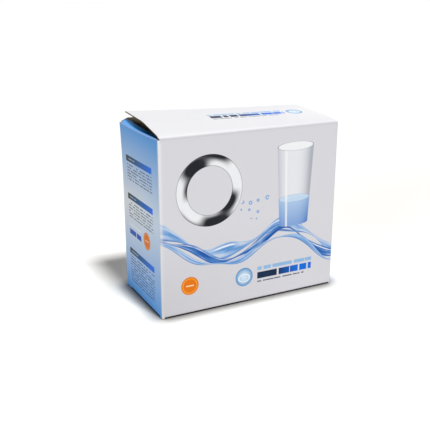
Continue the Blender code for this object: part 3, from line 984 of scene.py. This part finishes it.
def paint_ribbons(face, period, phase, height, tilt, level):
    """Three layers of blue ribbon that swing across a wide face."""
    u = face.u
    off = face.v - (u.wave(period, phase) * height + u * tilt + level)
    layers = (
        (5.0, 7.5, srgb(188, 212, 240), SKY_BLUE, 3.0),
        (-1.0, 5.0, SKY_BLUE, DEEP_BLUE, 17.0),
        (-6.5, 3.2, srgb(168, 200, 236), SKY_BLUE, 41.0),
    )
    for drift, thick, tone, deep, seed in layers:
        wander = u.wave(83.0, seed) * 2.6 + u.wave(47.0, seed * 1.7) * 1.2
        half = (u.wave(64.0, seed * 0.6) * 0.45 + 0.62) * thick
        across = (off - drift - wander) / half
        streaks = face.noise(0.035, 1.1, 3.0, up=across, shift=seed)
        body = abs(across).ramp(1.0, 0.86)
        shade = streaks.ramp(0.34, 0.66)
        face.paint(face.blend(tone, deep, shade), body * (streaks.ramp(0.24, 0.44) * 0.7 + 0.3))
        face.paint(srgb(244, 249, 255), abs(across - 0.55).ramp(0.16, 0.06) * streaks.ramp(0.42, 0.60))
        face.paint(DEEP_BLUE, abs(across + 0.80).ramp(0.16, 0.04) * streaks.ramp(0.62, 0.44) * 0.85)


def paint_drops(face, u, v, radius, pitch, seed):
    """Round drops scattered within a circle."""
    place = join(face.tree, face.u / pitch + seed, face.v / pitch)
    cells = add_node(face.tree, "TexVoronoi", {"Vector": place, "Scale": 1.0, "Randomness": 0.8})
    cells.voronoi_dimensions = "2D"
    size, _ = split(face.tree, cells.outputs["Color"])
    wide = size.ramp(0.35, 1.0) * 0.26
    near = Term(face.tree, cells.outputs["Distance"]) - wide
    zone = face.distance(u, v, 1.6).ramp(radius, radius - 0.5)
    drop = near.ramp(0.03, -0.03) * zone
    face.paint(face.blend(SKY_BLUE, srgb(206, 226, 246), near.ramp(-0.04, -0.16)), drop)


def paint_seal(face, u, v, radius):
    """A plain orange disc with a paler ring."""
    face.paint(ORANGE, face.disc(u, v, radius))
    face.paint(AMBER, abs(face.distance(u, v) - radius * 0.80).ramp(0.55, 0.30))
    face.paint(srgb(250, 222, 180), face.box(u - radius * 0.45, v - 0.6, u + radius * 0.45, v + 0.6))


def paint_hoop(face, u, v, radius, half):
    """A bright metal ring, seen square on."""
    away = face.distance(u, v)
    turn = (face.v - v).do("ARCTAN2", face.u - u)
    across = (away - radius) / half
    glint = (turn * 2.0 + across * 0.9 + 0.6).do("SINE") * 0.5 + 0.5
    fine = (turn * 5.0 - across * 1.6).do("SINE") * 0.5 + 0.5
    tone = (glint * 0.72 + fine * 0.28).ramp(0.22, 0.74, smooth=True)
    body = abs(across).ramp(1.0 + INK_EDGE / half, 1.0 - INK_EDGE / half)
    face.paint(face.blend(CHROME_DARK, CHROME_LIGHT, tone), body)
    face.paint(CHROME_DARK, abs(abs(across) - 0.94).ramp(0.09, 0.02) * 0.55)


def paint_tumbler(face, u, low, high, half, fill):
    """A straight frosted tumbler with water in it."""
    lean = (face.v - low) * 0.055 + half
    across = (face.u - u) / lean
    foot = (face.v - low) + (1.0 - across * across).most(0.0).do("SQRT") * 3.0
    rim = (face.v - high) / 4.2
    top = across * across + rim * rim
    body = abs(across).ramp(1.01, 0.99) * foot.ramp(-0.2, 0.2) * face.v.ramp(high + 0.1, high - 0.1)
    shade = abs(across + 0.12) ** 3.0
    face.paint(face.blend(srgb(240, 241, 245), srgb(176, 180, 190), shade), body * 0.92)
    surface = (face.v - fill) / 3.6
    pool = across * across + surface * surface
    wet = body * face.v.ramp(fill + 0.1, fill - 0.1)
    depth = face.v.ramp(fill, low)
    water = face.blend(srgb(172, 206, 240), srgb(70, 130, 208), depth * 0.7 + shade * 0.3)
    face.paint(water, wet * 0.85)
    face.paint(srgb(204, 226, 247), pool.ramp(1.04, 0.96) * 0.9)
    face.paint(DEEP_BLUE, abs(pool - 0.97).ramp(0.07, 0.02) * 0.5)
    face.paint(srgb(252, 253, 255), abs(across + 0.52).ramp(0.085, 0.045) * body * 0.75)
    face.paint(srgb(250, 251, 253), top.ramp(1.03, 0.97))
    face.paint(srgb(140, 146, 158), abs(top - 0.95).ramp(0.09, 0.03) * 0.8)


def paint_title(face, left, low, right, seed):
    """Bars in place of a title: a light line, a heavy one from navy to blue, and a fine one."""
    turn = face.u.ramp(mix(left, right, 0.35), mix(left, right, 0.75))
    heavy = face.blend(NAVY, BRIGHT_BLUE, turn)
    for tone, foot, head, shift in ((PALE_BLUE, 12.0, 15.5, 0.0), (heavy, 3.6, 10.0, 5.0)):
        face.paint(tone, face.word_bar(left, low + foot, right, low + head, seed + shift))
    face.paint(TEXT_GREY, face.lines(left, low - 0.4, right - 8.0, low + 2.0, 2.4, 0.5, seed))


def paint_roundel(face, u, v, radius):
    """A plain pale blue roundel, darker round its edge."""
    outward = face.distance(u, v).ramp(0.0, radius) ** 2.0
    body = face.blend(srgb(214, 232, 246), srgb(60, 140, 196), outward)
    face.paint(body, face.disc(u, v, radius))
    ring = abs(face.distance(u, v - radius * 0.12, 1.5) - radius * 0.62)
    face.paint(srgb(246, 250, 253), ring.ramp(0.75, 0.35))


# Places of the motifs in millimetres on the flat sheet
FRONT_RIBBONS = {"period": 124.0, "phase": 1.75, "height": 13.0, "tilt": -0.09, "level": 64.0}
BACK_RIBBONS = {"period": 150.0, "phase": 3.6, "height": 10.0, "tilt": 0.08, "level": 34.0}
DROPS = {"u": 98.0, "v": 92.0, "radius": 21.0, "pitch": 8.5, "seed": 2.4}
HOOP = {"u": 47.0, "v": 112.0, "radius": 27.0, "half": 5.2}
TUMBLER = {"u": 134.0, "low": 70.0, "high": 143.0, "half": 15.5, "fill": 94.0}
BACK_TEXTS = ((18.0, 96.0, 84.0, 116.0, 2.0), (98.0, 70.0, 162.0, 116.0, 8.0))
SIDE_TEXTS = ((128.0, 6, 3.0), (92.0, 6, 9.0), (38.0, 10, 21.0))
SIDE_TEXT_LEFT = 14.0
SIDE_TEXT_RIGHT = 74.0
SIDE_TEXT_PITCH = 2.7
LID_MIDDLE = FRONT_TOP * MM + 40.0
TUCK_CREASE = FRONT_TOP * MM + 88.0


def front_print():
    face = Print("front_print")
    low = face.v.ramp(80.0, 0.0) * (face.u.ramp(140.0, 0.0) * 0.65 + 0.35)
    face.colour = face.blend(GROUND, LOW_GREY, low)
    paint_ribbons(face, **FRONT_RIBBONS)
    paint_drops(face, **DROPS)
    paint_hoop(face, **HOOP)
    paint_tumbler(face, **TUMBLER)
    paint_seal(face, 27.0, 27.0, 8.5)
    paint_roundel(face, 82.0, 25.0, 9.0)
    paint_title(face, 96.0, 17.0, 156.0, 4.0)
    # A paler strip along the front's left edge, fading out towards the bottom.
    left_edge_strip = face.u.ramp(3.6, 1.6) * face.v.ramp(20.0, 150.0)
    face.paint(srgb(240, 240, 243), left_edge_strip * 0.8)
    # Painted shade along the bottom crease, for the dark gap under the foot.
    face.paint_foot_shade()
    return face.finish(face.u.ramp(1.6, 0.2) * 0.4)


def back_print():
    face = Print("back_print")
    face.colour = face.blend(GROUND, srgb(236, 236, 240), face.v.ramp(30.0, 150.0, smooth=True))
    paint_ribbons(face, **BACK_RIBBONS)
    paint_roundel(face, 30.0, 132.0, 10.0)
    paint_title(face, 46.0, 126.0, 118.0, 9.0)
    for left, low, right, high, seed in BACK_TEXTS:
        face.paint(TEXT_GREY, face.lines(left, low, right, high, 3.2, 0.32, seed))
    heading = face.blend(NAVY, BRIGHT_BLUE, face.u.ramp(98.0, 162.0))
    face.paint(heading, face.box(98.0, 118.5, 162.0, 123.0))
    paint_seal(face, 50.0, 78.0, 8.5)
    return face.finish(face.u.ramp(WIDTH * MM - 2.4, WIDTH * MM - 1.2) * 0.5)


def side_print(name, forward):
    """A blue side panel. forward is the distance from the panel's rear edge."""
    face = Print(name)
    front = forward(face.u)
    top = SIDE_TOP * MM
    pale = face.v.ramp(160.0, 92.0).least(face.v.ramp(2.0, 82.0))
    ground = face.blend(srgb(86, 164, 236), srgb(94, 166, 238), face.v.ramp(110.0, 60.0))
    pale_tone = face.blend(srgb(231, 238, 244), srgb(227, 241, 255), front.ramp(20.0, 80.0))
    face.colour = face.blend(ground, pale_tone, pale * (1.0 - front.ramp(50.0, 92.0) * 0.15))
    crease_line = abs(face.v - (top + 1.3)).ramp(2.6, 0.8)
    # Painted shade: a deeper blue along the top crease, to darken the light the fold catches.
    face.paint(CREASE_SHADE_BLUE, crease_line * 0.7)
    # The dust flap's blue print, brighter towards the front where the lid shades the flap: partly
    # print, partly painted light.
    face.paint(DUST_FLAP_LIT_BLUE, face.v.ramp(top + 2.0, top + 5.0) * front.ramp(12.0, 60.0))
    # Painted shade along the bottom crease, for the dark gap under the foot.
    face.paint_foot_shade()
    heading = face.blend(srgb(26, 32, 38), srgb(10, 92, 146), face.u.ramp(14.0, 42.0))
    heading = face.blend(heading, srgb(16, 118, 246), face.u.ramp(40.0, 74.0))
    left, right, pitch = SIDE_TEXT_LEFT, SIDE_TEXT_RIGHT, SIDE_TEXT_PITCH
    for low, count, seed in SIDE_TEXTS:
        face.paint(heading, face.box(left - 1.0, low, right, low + 5.6))
        face.paint(srgb(168, 186, 204), face.word_bar(left + 3.0, low + 2.2, 34.0, low + 3.2, seed))
        high = low - 1.6
        face.paint(TEXT_DARK, face.lines(left, high - count * pitch, right, high, pitch, 0.32, seed))
    paint_seal(face, 58.0, 63.0, 8.0)
    face.paint(srgb(232, 240, 250), face.word_bar(left, 66.0, 44.0, 68.6, 12.0))
    face.paint(srgb(20, 84, 186), face.word_bar(left, 58.0, 44.0, 63.0, 16.0))
    edge = front.ramp(86.6, 88.6)
    return face.finish((crease_line * 0.2).most(edge * 0.4))


def lid_print():
    face = Print("lid_print")
    face.colour = face.blend(LID_WHITE, srgb(227, 227, 231), face.noise(0.02, 0.02, 1.0))
    paint_title(face, 66.0, LID_MIDDLE - 8.0, 144.0, 4.0)
    paint_roundel(face, 156.0, LID_MIDDLE, 8.0)
    return face.finish(abs(face.v - TUCK_CREASE).ramp(2.2, 0.6) * 0.6)


def hinge_print():
    """The crease between the front panel and the lid, from the one's tone to the other's."""
    face = Print("hinge_print")
    start = FRONT_TOP * MM
    face.colour = face.blend(GROUND, LID_WHITE, face.v.ramp(start + 1.6, start + 2.6))
    # Painted shade: a grey band low on the hinge crease, darker where the fold bends over.
    face.paint(srgb(186, 185, 190), abs(face.v - (start + 0.7)).ramp(1.6, 0.3) * 0.45)
    return face.finish(abs(face.v - (start + 2.0)).ramp(1.0, 0.2) * 0.3)


def liner():
    """The unprinted inside: grey-brown recycled board with flecks of fibre."""
    face = Print("grey_liner")
    cloud = face.noise(0.05, 0.03, 2.0)
    fibre = face.noise(1.9, 0.5, 3.0, shift=7.0)
    face.colour = face.blend(srgb(160, 147, 129), srgb(172, 160, 142), cloud.ramp(0.25, 0.75))
    face.paint(srgb(112, 98, 82), fibre.ramp(0.62, 0.80) * 0.45)
    face.paint(srgb(206, 198, 184), fibre.ramp(0.34, 0.22) * 0.4)
    return face.coat(fibre * 0.1 + 0.78, 0.25, fibre * 0.05 + face.washboard() * 0.03, 0.5)


def cut_edge():
    """Raw board at a cut: brown paper, frayed a little."""
    face = Print("cut_board")
    fray = face.noise(2.6, 2.6, 3.0)
    face.colour = face.blend(srgb(100, 86, 70), srgb(152, 136, 114), fray.ramp(0.25, 0.75))
    return face.coat(0.9, 0.2, fray * 0.1, 0.6)


def show(name, data):
    made = bpy.data.objects.new(name, data)
    bpy.context.scene.collection.objects.link(made)
    return made


def add_piece(sheet, name, body, node, materials):
    data = sheet.mesh(name)
    for material in materials:
        data.materials.append(material)
    data.set_sharp_from_angle(angle=math.radians(SHARP_ANGLE))
    piece = show(name, data)
    if body:
        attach(piece, body)
    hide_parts(node)
    return piece


def build_pieces():
    sheet = Sheet()
    front = build_walls(sheet)
    build_lid(sheet, front)
    inside = liner()
    edge = cut_edge()
    walls = (
        ("front_panel", front_print()),
        ("right_panel", side_print("right_print", lambda u: DEPTH * MM - u)),
        ("back_panel", back_print()),
        ("left_panel", side_print("left_print", lambda u: u)),
    )
    for name, outside in walls:
        add_piece(sheet, name, "carton", "carton", (outside, inside, edge))
    add_piece(sheet, "lid_panel", "lid", "lid", (lid_print(), inside, edge))
    strip = add_piece(sheet, "hinge_crease", None, "lid", (hinge_print(), inside, edge))
    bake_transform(strip)


# Camera, fitted to the corners of the carton in the photo
YAW = math.radians(27.01)
PITCH = math.radians(17.76)
LENS = 57.62
SENSOR = 36.0
EYE = Vector((-0.2983, -0.5554, 0.2729))

# Floor and light. The floor darkens within its contact reach of whatever stands on it
FLOOR_SIZE = 40.0
FLOOR_DROP = 0.0002
KEY = {"strength": 0.95, "spread": 10.0, "direction": Vector((-0.0112, 0.0770, -0.162))}
LEFT_FILL = {"strength": 0.31, "spread": 20.0, "direction": Vector((1.0, 0.50, -0.28))}
REAR_FILL = {"strength": 0.45, "spread": 14.0, "direction": Vector((-1.0, -1.0, -0.12))}
SKY_TONE = (1.0, 0.99, 0.97, 1.0)
SKY_STRENGTH = 0.10
WHITE = (1.0, 1.0, 1.0, 1.0)
FLOOR_TONE = (0.60, 0.60, 0.60, 1.0)
FLOOR_SEEN = (1.0, 0.995, 0.982, 1.0)
CONTACT_REACH = 0.015
CONTACT_DEPTH = 2.0


def add_camera():
    data = bpy.data.cameras.new("camera")
    data.lens = LENS
    data.sensor_width = SENSOR
    camera = show("camera", data)
    camera.location = EYE
    camera.rotation_euler = (RIGHT_ANGLE - PITCH, 0.0, -YAW)
    bpy.context.scene.camera = camera


def add_floor():
    half = FLOOR_SIZE / 2
    shape = bmesh.new()
    corners = ((-half, -half), (half, -half), (half, half), (-half, half))
    shape.faces.new([shape.verts.new((x, y, -FLOOR_DROP)) for x, y in corners])
    data = bpy.data.meshes.new("floor")
    shape.to_mesh(data)
    shape.free()
    floor = show("floor", data)
    data.materials.append(floor_paper())


def seen(tree):
    """1 where the camera sees a surface, straight, in a reflection or through something clear."""
    path = add_node(tree, "LightPath", {})
    rays = ("Is Camera Ray", "Is Glossy Ray", "Is Transmission Ray")
    camera, glossy, clear = (Term(tree, path.outputs[ray]) for ray in rays)
    return camera.most(glossy).most(clear)


def choose_seen(tree, lighting, shown, output):
    """Lights the carton by one shader, and shows the camera another."""
    choose = add_node(tree, "MixShader", {0: seen(tree), 1: lighting, 2: shown})
    feed(tree, tree.nodes[output].inputs["Surface"], choose.outputs["Shader"])


def floor_paper():
    """White paper that lights the carton less than the camera sees it, with a soft contact shade."""
    material = bpy.data.materials.new("floor_paper")
    material.use_nodes = True
    tree = material.node_tree
    tree.nodes.remove(tree.nodes["Principled BSDF"])
    lighting = add_node(tree, "BsdfDiffuse", {"Color": FLOOR_TONE})
    contact = add_node(tree, "AmbientOcclusion", {"Color": FLOOR_SEEN, "Distance": CONTACT_REACH})
    shade = add_node(tree, "Gamma", {"Color": contact.outputs["Color"], "Gamma": CONTACT_DEPTH})
    paper = add_node(tree, "BsdfDiffuse", {"Color": shade.outputs["Color"]})
    choose_seen(tree, lighting.outputs["BSDF"], paper.outputs["BSDF"], "Material Output")
    return material


def add_sun(name, strength, spread, direction):
    data = bpy.data.lights.new(name, "SUN")
    data.energy = strength * math.pi
    data.angle = math.radians(spread)
    lamp = show(name, data)
    lamp.rotation_euler = direction.to_track_quat("-Z", "Y").to_euler()


def add_light():
    add_sun("key", **KEY)
    add_sun("left_fill", **LEFT_FILL)
    add_sun("rear_fill", **REAR_FILL)
    world = bpy.data.worlds.new("studio")
    bpy.context.scene.world = world
    world.use_nodes = True
    tree = world.node_tree
    tree.nodes.remove(tree.nodes["Background"])
    sky = add_node(tree, "Background", {"Color": SKY_TONE, "Strength": SKY_STRENGTH})
    backdrop = add_node(tree, "Background", {"Color": WHITE, "Strength": 1.0})
    choose_seen(tree, sky.outputs["Background"], backdrop.outputs["Background"], "World Output")


build_pieces()
add_camera()
add_floor()
add_light()
bpy.context.scene.view_settings.view_transform = "Standard"
